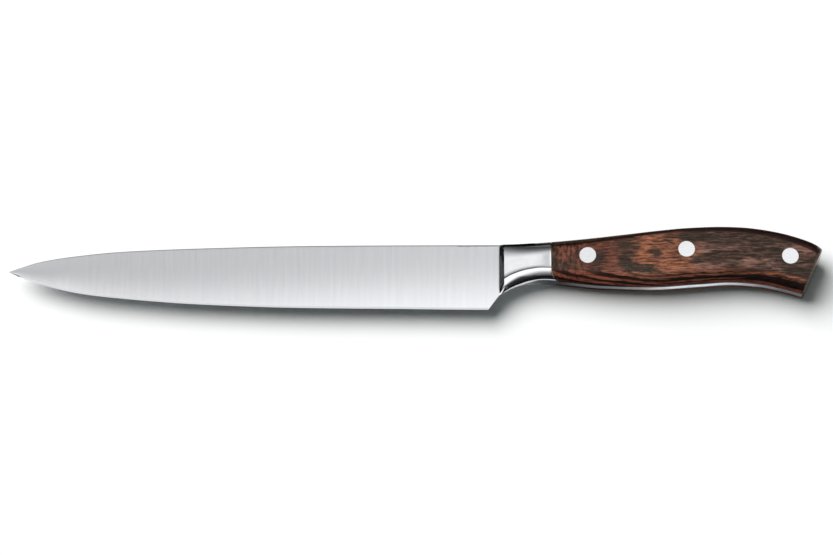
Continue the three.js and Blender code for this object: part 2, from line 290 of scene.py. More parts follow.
def blade_measures(x):
    """Heights and half thicknesses that shape the blade's section at x, which is below zero."""
    share = (-x + STUB_LENGTH) / (BLADE_LENGTH + STUB_LENGTH)
    spine = float(spine_at(-x))
    edge = float(edge_at(-x))
    fineness = min(1, (spine - edge) / (BLADE_DEPTH * SLIM_SHARE))
    spine_half = mix(SPINE_THICKNESS, TIP_THICKNESS, share) / 2 * fineness
    bevel_top = edge + min(BEVEL_HEIGHT, (spine - edge) * BEVEL_SHARE)
    bevel_half = min(BEVEL_THICKNESS / 2, spine_half / 2)
    return spine, edge, spine_half, bevel_top, bevel_half


def spine_rounding(spine_half):
    return min(SPINE_ROUNDING, spine_half / 2)


def blade_half(x, ys):
    """Half of the blade's thickness at x, at several heights."""
    spine, edge, spine_half, bevel_top, bevel_half = blade_measures(x)
    down = np.clip((spine - ys) / (spine - bevel_top), 0, 1)
    crown = BLADE_CROWN * spine_half / (SPINE_THICKNESS / 2)
    side = mix(spine_half, bevel_half, down) + crown * 4 * down * (1 - down)
    rounding = spine_rounding(spine_half)
    inside = np.clip(rounding - (spine - ys), 0, rounding)
    side = side - rounding + np.sqrt(rounding ** 2 - inside ** 2)
    bevel = bevel_half * np.clip((ys - edge) / (bevel_top - edge), 0, 1)
    return np.where(ys < bevel_top, np.minimum(side, bevel), side)


def choil_bottom(x):
    """Height of the edge, or of the slanted cut behind the heel."""
    cut_top = float(belly_at(-STEP_LEAD))
    share = np.clip((x + HEEL_SETBACK) / (HEEL_SETBACK - STEP_LEAD), 0, 1)
    return max(float(edge_at(-x)), float(mix(-BLADE_DEPTH, cut_top, share)))


def lip_size(x):
    share = np.clip(x / BOLSTER_LENGTH, 0, 1)
    width = mix(LIP_FRONT_WIDTH, LIP_REAR_WIDTH, share)
    return width, mix(LIP_FRONT_HEIGHT, LIP_REAR_HEIGHT, share)


def blade_ring(x):
    """Half a section of the blade, whose rows spread to the bolster's heights near the heel."""
    heel_share = float(smoothstep(-HEEL_BLEND, -STEP_LEAD, x))
    spine, edge, spine_half, bevel_top, _ = blade_measures(x)
    bottom = choil_bottom(x)
    shoulder = spine - mix(spine_rounding(spine_half), BOLSTER_SHOULDER_HEIGHT, heel_share)
    bolster_crease = float(belly_at(-STEP_LEAD) + crease_height_at(-STEP_LEAD))
    crease = mix(mix(spine, edge, CREASE_SHARE), bolster_crease, heel_share)
    side_bottom = max(bevel_top, bottom + 2 * EDGE_STEP)
    ys = heights(x, spine, shoulder, crease, side_bottom)
    gather_lip_rows(ys, crease, LIP_FRONT_WIDTH, heel_share)
    ys[TANG_LOW] = bottom + EDGE_STEP
    ys[-1] = bottom
    zs = blade_half(x, ys)
    zs[[0, -1]] = 0
    return np.column_stack([np.full(ROWS, x), ys, zs])


def hilt_ring(alongs, inset=0.0, lip=False):
    """Half a section of the hilt, each row at its own place along it. Towards the butt the rows
    lean, so that the last section is the butt's sloping face."""
    alongs = np.broadcast_to(np.asarray(alongs, float), ROWS)
    lean = BUTT_LEAN * smoothstep(LEAN_START_SHARE * HILT_LENGTH, HILT_LENGTH, alongs)
    back = back_at(alongs)
    belly = belly_at(alongs - lean)
    half = half_thickness_at(alongs)
    keel = half_keel_at(alongs)
    half_tang = TANG_THICKNESS / 2
    crease_height = crease_height_at(alongs)
    crease = belly + crease_height
    ys = heights(alongs, back, back - shoulder_at(alongs), crease, belly)
    zs = np.zeros(ROWS)
    zs[shoulder_rows] = mix(half_tang, half[shoulder_rows], np.sin(shoulder_turns))
    zs[flat_rows] = half[flat_rows]
    zs[under_rows] = mix(keel[under_rows], half[under_rows], underside_shares(alongs)[1])
    zs[TANG_LOW] = keel[TANG_LOW] * TANG_THICKNESS / REAR_KEEL_WIDTH
    crown = keel * np.tan(keel_turn_at(alongs)) / 2
    ys[keel_rows] -= (crown * (1 - (zs / keel) ** 2))[keel_rows]
    if lip:
        width, height = lip_size(alongs)
        gather_lip_rows(ys, crease, width)
        above = np.clip((ys - crease) / width, 0, 1)
        below = np.clip((crease - ys) / (crease_height / 2), 0, 1)
        zs += height * (1 - above) * (1 - below) ** 2 * (zs > 0)
    xs = alongs - lean * (back - ys) / (back - belly)
    middle = (back + belly) / 2
    shrink = 1 - inset / ((back - belly) / 2)
    zs = np.where(zs > half_tang, np.maximum(zs * shrink, half_tang), zs)
    return np.column_stack([xs, middle + (ys - middle) * shrink, zs])


def step_ring(x):
    """The step swells from the blade's skin up to the bolster's front."""
    share = (x + STEP_LEAD) / (STEP_LEAD + STEP_RUN)
    top = mix(float(spine_at(0)), float(back_at(STEP_RUN)), share)
    bottom = float(belly_at(x))
    crease = bottom + float(crease_height_at(x))
    ys = heights(x, top, top - BOLSTER_SHOULDER_HEIGHT, crease, bottom)
    gather_lip_rows(ys, crease, LIP_FRONT_WIDTH)
    skin = blade_half(-STEP_LEAD, ys)
    skin[[0, -1]] = 0
    front = hilt_ring(STEP_RUN, lip=True)[:, 2]
    steepness = 1 / (1 - STEP_FILLET / 2)
    if share < STEP_FILLET:
        rise = steepness * share ** 2 / (2 * STEP_FILLET)
    else:
        rise = steepness * (share - STEP_FILLET / 2)
    return np.column_stack([np.full(ROWS, x), ys, mix(skin, front, rise)])


def corner_front(ys, gap):
    """Where the bolster ends at a height: straight, then round below the scales' lower corner."""
    centre_x = BOLSTER_LENGTH + CORNER_DEPTH
    centre_y = float(belly_at(centre_x)) + CORNER_RISE
    radius = CORNER_DEPTH - gap
    below = np.clip(centre_y - ys, 0, radius)
    return centre_x - np.sqrt(radius ** 2 - below ** 2)


def joint_front(gap):
    """For each row, the x at which it meets the joint behind the bolster."""
    low = np.full(ROWS, BOLSTER_LENGTH)
    high = np.full(ROWS, BOLSTER_LENGTH + CORNER_DEPTH)
    for _ in range(JOINT_HALVINGS):
        middle = (low + high) / 2
        ahead = middle < corner_front(hilt_ring(middle)[:, 1], gap)
        low = np.where(ahead, middle, low)
        high = np.where(ahead, high, middle)
    return (low + high) / 2


def section_normals(ring):
    """Outward directions in the section's plane, one a row."""
    along = np.gradient(ring[:, 1:], axis=0)
    normals = np.column_stack([along[:, 1], -along[:, 0]])
    return normals / np.maximum(np.linalg.norm(normals, axis=1), 1e-9)[:, None]


def edge_rings(fronts, rounding, towards, lip):
    """Rings that round an edge over in steps: the section sinks in as it nears the joint."""
    rings = []
    for turn in np.linspace(0, math.pi / 2, EDGE_RINGS):
        xs = fronts + towards * rounding * (1 - math.sin(turn))
        ring = hilt_ring(xs, lip=lip)
        room = np.clip((ring[:, 2] - TANG_THICKNESS / 2) / (2 * rounding), 0, 1)
        ring[:, 1:] -= section_normals(ring) * (rounding * (1 - math.cos(turn)) * room)[:, None]
        rings.append(ring)
    return rings


def butt_rings():
    """The last rings of the hilt, which round over into the butt's face."""
    return [
        hilt_ring(
            HILT_LENGTH - BUTT_ROUNDING * (1 - math.sin(turn)),
            inset=BUTT_ROUNDING * (1 - math.cos(turn)),
        )
        for turn in np.linspace(0, math.pi / 2, BUTT_RINGS)
    ]


def in_tang_plane(rings):
    """The same rings laid flat on the side of the tang."""
    flat = rings.copy()
    flat[:, :, 2] = TANG_THICKNESS / 2
    return flat


# Meshes: patches are grids of points, welded along their shared rims
WELD = 2e-6
SHARP_ANGLE = math.radians(30)


def mirrored(points):
    return points * np.array([1, 1, -1])


def finish_mesh(mesh):
    """Welds the mesh's seams, turns its faces outward, and shades it smooth between sharp edges."""
    bm = bmesh.new()
    bm.from_mesh(mesh)
    bmesh.ops.remove_doubles(bm, verts=bm.verts, dist=WELD)
    bmesh.ops.dissolve_degenerate(bm, edges=bm.edges, dist=WELD)
    bmesh.ops.recalc_face_normals(bm, faces=bm.faces)
    bm.to_mesh(mesh)
    bm.free()
    mesh.shade_smooth()
    mesh.set_sharp_from_angle(angle=SHARP_ANGLE)


def grid_faces(rows, columns, first=0):
    """The faces between neighbouring points of a grid, whose points are numbered from the first."""
    index = first + np.arange(rows * columns).reshape(rows, columns)
    corners = (index[:-1, :-1], index[1:, :-1], index[1:, 1:], index[:-1, 1:])
    return np.stack(corners, axis=-1).reshape(-1, 4).tolist()


def patch_mesh(name, patches, finishes=()):
    """One mesh from patches of points in the drawing's own place. A finish is the number of the
    material on a patch's faces, or an array with a number a face."""
    vertices, faces, materials = [], [], []
    for patch, finish in itertools.zip_longest(patches, finishes, fillvalue=0):
        rows, columns = patch.shape[:2]
        faces += grid_faces(rows, columns, len(vertices))
        vertices += (patch.reshape(-1, 3) + ORIGIN).tolist()
        materials.append(np.broadcast_to(finish, (rows - 1, columns - 1)).ravel())
    mesh = bpy.data.meshes.new(name)
    mesh.from_pydata(vertices, [], faces)
    mesh.polygons.foreach_set("material_index", np.concatenate(materials).astype(np.int32))
    finish_mesh(mesh)
    return mesh


def add_object(name, mesh, *materials):
    obj = bpy.data.objects.new(name, mesh)
    bpy.context.scene.collection.objects.link(obj)
    for material in materials:
        mesh.materials.append(material)
    return obj


def lathe(name, profile, centre, segments=96):
    """A solid turned about a line along Z. A profile point is (radius, height, follow), and one
    whose follow is 1 or -1 moves out and in with the handle's side."""
    here = float(half_thickness_at(centre[0]))
    angles = np.linspace(0, 2 * math.pi, segments + 1)
    rings = []
    for radius, height, follow in profile:
        xs = centre[0] + radius * np.cos(angles)
        ys = centre[1] + radius * np.sin(angles)
        zs = height + follow * (half_thickness_at(xs) - here)
        rings.append(np.column_stack([xs, ys, zs]))
    return patch_mesh(name, [np.array(rings)])


def cut(obj, cutters):
    """Takes the cutters' meshes out of the object for good."""
    for mesh in cutters:
        cutter = add_object("cutter", mesh)
        modifier = obj.modifiers.new("hole", "BOOLEAN")
        modifier.operation = "DIFFERENCE"
        modifier.solver = "EXACT"
        modifier.object = cutter
        evaluated = obj.evaluated_get(bpy.context.evaluated_depsgraph_get())
        result = bpy.data.meshes.new_from_object(evaluated)
        obj.modifiers.clear()
        old, obj.data = obj.data, result
        result.name = old.name
        bpy.data.objects.remove(cutter)
        bpy.data.meshes.remove(mesh)
        bpy.data.meshes.remove(old)
    finish_mesh(obj.data)


# Forging: blade, step, bolster and tang
BLADE_STATIONS = 90
TIP_CROWDING = 1.5
CHOIL_STATIONS = 8
STEP_STATIONS = 18
BOLSTER_STATIONS = 24
HANDLE_STATIONS = 90
POLISHED, SATIN, HONED = range(3)


def front_rings():
    """Rings from the tip to the joint behind the bolster."""
    tip = np.array([-BLADE_LENGTH, float(spine_at(BLADE_LENGTH)), 0])
    rings = [np.tile(tip, (ROWS, 1))]
    for share in np.linspace(0, 1, BLADE_STATIONS)[1:]:
        rings.append(blade_ring(mix(-BLADE_LENGTH, -HEEL_SETBACK, share ** TIP_CROWDING)))
    rings += [blade_ring(x) for x in np.linspace(-HEEL_SETBACK, -STEP_LEAD, CHOIL_STATIONS)[1:]]
    rings += [step_ring(x) for x in np.linspace(-STEP_LEAD, STEP_RUN, STEP_STATIONS)[1:]]
    fronts = joint_front(0)
    for share in np.linspace(0, 1, BOLSTER_STATIONS)[1:-1]:
        rings.append(hilt_ring(mix(STEP_RUN, fronts - METAL_EDGE_ROUNDING, share), lip=True))
    return rings + edge_rings(fronts, METAL_EDGE_ROUNDING, -1, lip=True)


def handle_rings(fronts):
    """Rings from the joint to the butt's rounded end."""
    shares = np.linspace(0, 1, HANDLE_STATIONS)[1:-1]
    return [hilt_ring(mix(fronts, HILT_LENGTH - BUTT_ROUNDING, s)) for s in shares] + butt_rings()


def ruled(edge, depth):
    """A patch of straight lines along Z, from an edge's points to one depth."""
    far = edge.copy()
    far[:, 2] = depth
    return np.array([edge, far])


def forging_mesh():
    front = np.array(front_rings())
    behind = np.array([front[-1]] + handle_rings(joint_front(0)))
    sides = in_tang_plane(behind[:, TANG_TOP:TANG_LOW + 1])
    half = [
        front,
        behind[:, :TANG_TOP + 1],
        behind[:, TANG_LOW:],
        ruled(front[-1, TANG_TOP:TANG_LOW + 1], TANG_THICKNESS / 2),
        sides,
        ruled(sides[-1], 0),
    ]
    finish = np.full((len(front) - 1, ROWS - 1), POLISHED)
    finish[:BLADE_STATIONS + CHOIL_STATIONS - 2] = SATIN
    finish[:BLADE_STATIONS - 1, KEEL_ROW:] = HONED
    finishes = [finish] + [POLISHED] * (len(half) - 1)
    return patch_mesh("forging", half + [mirrored(patch) for patch in half], finishes * 2)


def scale_patches():
    """The left scale: its outside, front, inside and butt."""
    fronts = joint_front(JOINT_GAP)
    rings = edge_rings(fronts, WOOD_EDGE_ROUNDING, 1, lip=False)[::-1]
    rings = np.array(rings + handle_rings(fronts + WOOD_EDGE_ROUNDING))[:, TANG_TOP:TANG_LOW + 1]
    return [
        rings,
        in_tang_plane(rings),
        ruled(rings[0], TANG_THICKNESS / 2),
        ruled(rings[-1], TANG_THICKNESS / 2),
    ]


WOOD_PLACE = "wood_place"


def wood_places(points):
    """For each point of a scale: the share of the way from the bolster to the butt, the share of
    the way from the back to the belly, and the depth in millimetres below the flat side. On the
    flat, the depth is below zero and tells how far the nearer long edge is."""
    xs, ys, zs = (points - ORIGIN).T
    alongs = xs
    for _ in range(LEAN_ROUNDS):
        lean = BUTT_LEAN * smoothstep(LEAN_START_SHARE * HILT_LENGTH, HILT_LENGTH, alongs)
        back = back_at(alongs)
        belly = belly_at(alongs - lean)
        across = np.clip((back - ys) / (back - belly), 0, 1)
        alongs = np.minimum(xs + lean * across, HILT_LENGTH)
    shares = (alongs - BOLSTER_LENGTH) / (HILT_LENGTH - BOLSTER_LENGTH)
    below_back = back - shoulder_at(alongs) - ys
    above_belly = ys - belly - crease_height_at(alongs)
    from_edge = np.maximum(np.minimum(below_back, above_belly), 0)
    depth = half_thickness_at(alongs) - np.abs(zs) - from_edge
    return np.column_stack([shares, across, depth / MM])


def store_wood_places(mesh):
    points = np.empty(len(mesh.vertices) * 3)
    mesh.vertices.foreach_get("co", points)
    places = wood_places(points.reshape(-1, 3))
    attribute = mesh.attributes.new(WOOD_PLACE, "FLOAT_VECTOR", "POINT")
    attribute.data.foreach_set("vector", places.ravel())


# Rivets
def rivet_place(name):
    along, depth = RIVET_SHARES[name]
    x = mix(BOLSTER_LENGTH, HILT_LENGTH, along)
    y = mix(float(back_at(x)), float(belly_at(x)), depth)
    surface = float(half_thickness_at(x))
    return (x, y), surface, surface - RIVET_HEAD_HEIGHT


def scale_hole(name):
    centre, surface, seat = rivet_place(name)
    shank = RIVET_SLEEVE_RADIUS + RIVET_CLEARANCE
    head = RIVET_HEAD_RADIUS + RIVET_CLEARANCE
    top = surface + RIVET_HEAD_HEIGHT
    profile = [(0, 0, 0), (shank, 0, 0), (shank, seat, 0), (head, seat, 0), (head, top, 0), (0, top, 0)]
    return lathe("hole", profile, centre)


def tang_hole(name):
    centre = rivet_place(name)[0]
    radius = RIVET_SLEEVE_RADIUS + RIVET_CLEARANCE
    depth = TANG_THICKNESS
    return lathe("hole", [(0, -depth, 0), (radius, -depth, 0), (radius, depth, 0), (0, depth, 0)], centre)


def head_profile(surface, seat, side):
    """The sunk head: a flat seat, a straight wall, a fine chamfer, and a face flush with the wood."""
    top = surface + RIVET_PROUD
    radius = RIVET_HEAD_RADIUS
    inner = radius - RIVET_HEAD_CHAMFER
    return [
        (radius, side * seat, 0),
        (radius, side * (top - RIVET_HEAD_CHAMFER), side),
        (inner, side * top, side),
        (inner * 0.5, side * top, side),
        (0, side * top, side),
    ]


def post_mesh(name):
    """The post: a pin that fills the sleeve, under a head in the left scale."""
    centre, surface, seat = rivet_place(name)
    pin = RIVET_POST_RADIUS
    end = -seat + RIVET_END_ROOM
    profile = [(0, end, 0), (pin, end, 0), (pin, seat, 0)] + head_profile(surface, seat, 1)
    return lathe(f"{name}_post", profile, centre)


def sleeve_mesh(name):
    """The sleeve: a tube through the tang, over a head in the right scale."""
    centre, surface, seat = rivet_place(name)
    tube = RIVET_SLEEVE_RADIUS
    bore = RIVET_POST_RADIUS + RIVET_CLEARANCE
    end = seat - RIVET_CLEARANCE
    profile = [(0, -seat, 0), (bore, -seat, 0), (bore, end, 0), (tube, end, 0), (tube, -seat, 0)]
    return lathe(f"{name}_sleeve", profile + head_profile(surface, seat, -1), centre)


# Shader nodes
class Shader:
    """A material's or a world's node tree, with short calls for the nodes used here."""

    def __init__(self, owner):
        owner.use_nodes = True
        self.tree = owner.node_tree
        self.tree.nodes.clear()

    def add(self, kind, inputs=None, **settings):
        node = self.tree.nodes.new(kind)
        for key, value in settings.items():
            setattr(node, key, value)
        for key, value in (inputs or {}).items():
            self.feed(node.inputs[key], value)
        return node

    def feed(self, socket, value):
        if isinstance(value, bpy.types.NodeSocket):
            self.tree.links.new(value, socket)
        else:
            socket.default_value = value

    def math(self, operation, *values, clamp=False):
        node = self.add("ShaderNodeMath", operation=operation, use_clamp=clamp)
        for socket, value in zip(node.inputs, values):
            self.feed(socket, value)
        return node.outputs[0]

    def range(self, value, low, high, to_low=0.0, to_high=1.0, smooth=True):
        kind = "SMOOTHSTEP" if smooth else "LINEAR"
        inputs = {
            "Value": value,
            "From Min": low,
            "From Max": high,
            "To Min": to_low,
            "To Max": to_high,
        }
        return self.add("ShaderNodeMapRange", inputs, interpolation_type=kind).outputs[0]

    def mix_colour(self, share, a, b, blend="MIX"):
        inputs = {0: share, 6: a, 7: b}
        return self.add("ShaderNodeMix", inputs, data_type="RGBA", blend_type=blend).outputs[2]

    def ramp(self, value, stops):
        """The colour at a value from 0 to 1 among stops of (value, colour)."""
        node = self.add("ShaderNodeValToRGB", {"Fac": value})
        elements = node.color_ramp.elements
        while len(elements) < len(stops):
            elements.new(0.5)
        for element, (stop, colour) in zip(elements, stops):
            element.position = stop
            element.color = (*colour, 1)
        return node.outputs["Color"]

    def place(self):
        """The point on the object, in metres."""
        return self.add("ShaderNodeTexCoord").outputs["Object"]

    def stretched(self, x, y, z, shift=None):
        """The point times so many cycles a millimetre along each axis."""
        scale = (x / MM, y / MM, z / MM)
        node = self.add("ShaderNodeMapping", {"Vector": self.place(), "Scale": scale})
        if shift is None:
            return node.outputs[0]
        return self.add("ShaderNodeVectorMath", {0: node.outputs[0], 1: shift}).outputs[0]

    def noise(self, vector, detail=2, roughness=0.5, output="Fac"):
        inputs = {"Vector": vector, "Scale": 1.0, "Detail": detail, "Roughness": roughness}
        return self.add("ShaderNodeTexNoise", inputs).outputs[output]

    def bump(self, height, distance):
        return self.add("ShaderNodeBump", {"Height": height, "Distance": distance}).outputs[0]

    def grey(self, value):
        inputs = {"Red": value, "Green": value, "Blue": value}
        return self.add("ShaderNodeCombineColor", inputs).outputs[0]

    def output(self, kind, **links):
        node = self.add(kind)
        for name, value in links.items():
            self.feed(node.inputs[name], value)


# Materials
POLISH_COLOUR = (0.67, 0.675, 0.69, 1)
SATIN_DARK = (0.485, 0.49, 0.505, 1)
SATIN_LIGHT = (0.51, 0.515, 0.53, 1)
HONED_COLOUR = (0.43, 0.435, 0.45, 1)
RIVET_DARK = (0.62, 0.625, 0.64, 1)
RIVET_LIGHT = (0.74, 0.745, 0.76, 1)


def new_material(name):
    material = bpy.data.materials.new(name)
    return material, Shader(material)


def surface(shader, **inputs):
    """Ends a material in the principled shader, whose sockets are named in small letters here."""
    names = {name.replace("_", " ").title().replace("Ior", "IOR"): v for name, v in inputs.items()}
    bsdf = shader.add("ShaderNodeBsdfPrincipled", names)
    shader.output("ShaderNodeOutputMaterial", Surface=bsdf.outputs[0])


def matt_material(name, colour):
    material, shader = new_material(name)
    bsdf = shader.add("ShaderNodeBsdfDiffuse", {"Color": colour})
    shader.output("ShaderNodeOutputMaterial", Surface=bsdf.outputs[0])
    return material


def glow(material, shader, colour, strength):
    """Ends a material in plain light, which only the rays that happen to meet it find."""
    emission = shader.add("ShaderNodeEmission", {"Color": colour, "Strength": strength})
    shader.output("ShaderNodeOutputMaterial", Surface=emission.outputs[0])
    material.cycles.emission_sampling = "NONE"
    return material


def polished_steel():
    """The bolster and the tang, with faint smears in the polish."""
    material, shader = new_material("polished_steel")
    smears = shader.noise(shader.stretched(0.25, 0.5, 0.5), detail=3)
    surface(
        shader,
        base_color=POLISH_COLOUR,
        metallic=1.0,
        roughness=shader.range(smears, 0.3, 0.7, 0.1, 0.16),
    )
    return material


def satin_steel():
    """The blade's sides, ground with fine lines from spine to edge."""
    material, shader = new_material("satin_steel")
    lines = shader.noise(shader.stretched(7, 0.08, 0.5), detail=3)
    broad = shader.noise(shader.stretched(0.6, 0.03, 0.1), detail=2)
    mixed = shader.math("MULTIPLY_ADD", broad, 0.4, shader.math("MULTIPLY", lines, 0.6))
    across = shader.add("ShaderNodeCombineXYZ", {"X": 1.0}).outputs[0]
    surface(
        shader,
        base_color=shader.mix_colour(shader.range(mixed, 0.35, 0.65), SATIN_DARK, SATIN_LIGHT),
        metallic=1.0,
        roughness=shader.range(lines, 0.3, 0.7, 0.2, 0.24),
        anisotropic=0.9,
        tangent=across,
        normal=shader.bump(lines, 0.002 * MM),
    )
    return material


def honed_steel():
    """The bevels at the cutting edge, with the stone's short scratches across them."""
    material, shader = new_material("honed_steel")
    scratches = shader.noise(shader.stretched(9, 1, 1), detail=2)
    surface(
        shader,
        base_color=HONED_COLOUR,
        metallic=1.0,
        roughness=shader.range(scratches, 0.3, 0.7, 0.18, 0.3),
        normal=shader.bump(scratches, 0.004 * MM),
    )
    return material


def rivet_steel():
    """Rivet heads sanded flush, so their faces are finely scratched."""
    material, shader = new_material("rivet_steel")
    turned = shader.add("ShaderNodeMapping", {
        "Vector": shader.place(),
        "Rotation": (0, 0, math.radians(38)),
        "Scale": (0.4 / MM, 2.4 / MM, 2 / MM),
    })
    scratches = shader.noise(turned.outputs[0], detail=3)
    surface(
        shader,
        base_color=shader.mix_colour(shader.range(scratches, 0.3, 0.7), RIVET_DARK, RIVET_LIGHT),
        metallic=1.0,
        roughness=shader.range(scratches, 0.3, 0.7, 0.34, 0.46),
        normal=shader.bump(scratches, 0.003 * MM),
    )
    return material


# Laminated wood, in linear colours
DARK_WOOD = (0.036, 0.021, 0.0145, 1)
FRONT_WOOD = (0.122, 0.043, 0.027, 1)
ORANGE_WOOD = (0.26, 0.096, 0.052, 1)
REAR_WOOD = (0.168, 0.087, 0.067, 1)
# The pale grey of the painted sheen specks along the crease
SHEEN_SPECK_COLOUR = (0.24, 0.2, 0.18, 1)
END_GRAIN = (0.1, 0.075, 0.06, 1)
# The layers in millimetres: the belly's by height from the handle's mid-plane, the front list's as
# they lie at the bolster, and the back's by depth below the flat side
LAYER_SPAN = 13.0
FRONT_BELLY_LAYERS = [
    (1.5, (0.05, 0.013, 0.01)), (3.6, (0.07, 0.02, 0.013)), (4.0, (0.02, 0.006, 0.005)),
    (4.9, (0.02, 0.006, 0.005)), (5.3, (0.16, 0.045, 0.025)), (6.4, (0.2, 0.06, 0.033)),
    (6.8, (0.025, 0.009, 0.007)), (7.7, (0.018, 0.007, 0.006)), (8.0, (0.2, 0.06, 0.034)),
    (8.9, (0.22, 0.072, 0.04)), (9.2, (0.03, 0.011, 0.008)), (10.2, (0.012, 0.005, 0.004)),
    (10.5, (0.2, 0.07, 0.04)), (11.2, (0.24, 0.095, 0.058)), (11.6, (0.05, 0.02, 0.014)),
    (12.1, (0.2, 0.09, 0.06)),
]
BELLY_LAYERS = [
    (1.5, (0.04, 0.01, 0.01)), (2.6, (0.12, 0.036, 0.02)), (4.1, (0.15, 0.045, 0.024)),
    (4.4, (0.03, 0.009, 0.007)), (4.9, (0.03, 0.009, 0.007)), (5.15, (0.2, 0.06, 0.03)),
    (5.65, (0.22, 0.065, 0.034)), (5.85, (0.012, 0.004, 0.003)), (7.1, (0.008, 0.003, 0.003)),
    (7.25, (0.17, 0.055, 0.03)), (7.75, (0.2, 0.066, 0.036)), (7.95, (0.04, 0.014, 0.01)),
    (8.2, (0.04, 0.014, 0.01)), (8.45, (0.24, 0.095, 0.058)), (9.5, (0.2, 0.09, 0.06)),
]
REAR_BELLY_LAYERS = [
    (1.5, (0.04, 0.01, 0.01)), (2.2, (0.16, 0.045, 0.024)), (3.2, (0.17, 0.045, 0.024)),
    (3.5, (0.09, 0.025, 0.014)), (3.9, (0.2, 0.055, 0.03)), (4.4, (0.012, 0.006, 0.005)),
    (6.9, (0.008, 0.004, 0.004)), (7.2, (0.12, 0.035, 0.02)), (7.4, (0.02, 0.008, 0.006)),
    (7.9, (0.24, 0.085, 0.045)), (8.4, (0.03, 0.014, 0.01)), (9.5, (0.04, 0.022, 0.015)),
]
BACK_LAYERS = [
    (0.0, (0.016, 0.006, 0.005)), (0.9, (0.011, 0.004, 0.004)), (1.3, (0.032, 0.018, 0.01)),
    (3.5, (0.04, 0.024, 0.014)), (4.1, (0.012, 0.006, 0.005)), (4.5, (0.05, 0.02, 0.012)),
    (5.3, (0.07, 0.026, 0.015)), (5.6, (0.015, 0.006, 0.005)), (6.3, (0.09, 0.03, 0.017)),
    (8.0, (0.03, 0.01, 0.008)),
]
# How far, in millimetres, the belly's layers rise towards the bolster, and how far the dark layer
# under the back comes on to the flat at the bolster and at the butt
FRONT_SWEEP = 4.0
DARK_RIM = (-0.45, 0.65)
# Shares of the way from the bolster to the butt: where the front list's layers lie level, where the
# middle and the rear lists take over, where the grain turns along, and where the butt's face begins
SWEEP_END = 0.42
MIDDLE_LIST_START = (0.36, 0.46)
REAR_LIST_START = (0.6, 0.82)
GRAIN_TURN = (0.08, 0.17)
BUTT_START = (0.994, 0.999)
# Shares of the way from the back to the belly between which the back's layers give way
BELLY_START = (0.45, 0.55)
# Where the flat's orange and rear tints begin, in millimetres in the drawing
ORANGE_START = (47, 56)
REAR_START = (73, 84)
# Soft patches of lighter (above 0) and darker wood on the flat: the middle in millimetres in the
# drawing, the radii along and across, the turn in degrees, and the amount
FIGURE = [
    (21.4, -7.8, 1.8, 8.7, 0, -1.0), (27.1, -6.2, 4.5, 3.9, 0, 0.35), (29.6, -3.2, 1.6, 3.0, 10, -0.6),
    (26.7, -12.0, 5.3, 1.5, -12, -0.9), (42.1, -4.3, 5.7, 2.2, -20, 0.65),
    (44.9, -9.5, 2.4, 4.3, 0, 0.6), (40.5, -9.4, 2.4, 4.3, 0, -1.1), (51.5, -3.1, 3.7, 3.9, 0, -0.8),
    (51.4, -9.6, 3.7, 3.9, 0, -0.8), (55.8, -12.9, 8.1, 1.9, -6, -0.9), (58.7, -5.4, 3.7, 6.5, 0, 0.55),
    (70.9, -2.2, 9.0, 2.6, 3, 0.3), (62.8, -6.2, 3.3, 1.9, 0, -1.0), (72.0, -12.2, 9.0, 3.9, 0, 0.35),
    (68.1, -1.5, 3.3, 1.0, -25, -0.7), (77.1, 0.6, 9.8, 2.6, 0, -1.1), (81.4, -4.4, 5.3, 3.0, 0, 0.75),
    (95.3, -3.9, 4.1, 1.5, 5, 0.7), (101.6, -10.1, 6.9, 1.5, 4, 0.8), (83.7, -13.5, 12.2, 2.6, 5, 1.1),
    (101.2, -12.4, 6.5, 1.7, -5, 1.0), (110.5, -11.9, 4.1, 2.6, -25, 0.5),
    (121.3, -4.3, 9.8, 2.2, -12, 0.85), (120.2, -14.3, 6.5, 3.9, -30, -0.3), (78.9, -9.8, 2.4, 1.7, 0, -0.8),
]
# How far the figure's points are moved about, in millimetres from end to end, along and across
FIGURE_WARP = (8, 5)
# Patches near the crease whose pale grey specks are painted sheen of the crease
CREASE_SHEEN_PATCHES = [(55.8, -12.9, 9.0, 2.5, -6, 1.0), (110.5, -11.0, 5.5, 3.0, -25, 1.0)]
FIGURE_BASE = 0.12


def layers(shader, level, stops):
    """The wood's colour at a level in millimetres, from a list of layers."""
    share = shader.math("DIVIDE", level, LAYER_SPAN)
    return shader.ramp(share, [(stop / LAYER_SPAN, colour) for stop, colour in stops])


def soft_patches(shader, point, patches):
    """The sum of soft round patches, each 1 times its amount in the middle."""
    total = 0.0
    for x, y, width, height, turn, amount in patches:
        patch = shader.add("ShaderNodeMapping", {
            "Vector": point,
            "Location": (x, y, 0),
            "Rotation": (0, 0, math.radians(turn)),
            "Scale": (width, height, 1),
        }, vector_type="TEXTURE")
        reach = shader.add("ShaderNodeVectorMath", {0: patch.outputs[0]}, operation="LENGTH")
        weight = shader.range(reach.outputs["Value"], 1.3, 0.2, 0.0, amount)
        total = shader.math("ADD", weight, total)
    return total


def warped_drawing_point(shader):
    """The point in millimetres in the drawing, level and moved about a little."""
    inputs = {
        "Vector": shader.place(),
        "Location": (-ORIGIN[0] / MM, -ORIGIN[1] / MM, 0),
        "Scale": (1 / MM, 1 / MM, 0),
    }
    point = shader.add("ShaderNodeMapping", inputs).outputs[0]
    waves = shader.noise(shader.stretched(0.13, 0.3, 0.3), detail=3, output="Color")
    centre = (-FIGURE_WARP[0] / 2, -FIGURE_WARP[1] / 2, 0)
    inputs = {"Vector": waves, "Location": centre, "Scale": (*FIGURE_WARP, 0)}
    shift = shader.add("ShaderNodeMapping", inputs).outputs[0]
    return shader.add("ShaderNodeVectorMath", {0: point, 1: shift}).outputs[0]


def varied(shader, value, noise, amount):
    """The value, moved up or down by at most half the amount."""
    return shader.math("ADD", value, shader.math("MULTIPLY_ADD", noise, amount, -amount / 2))


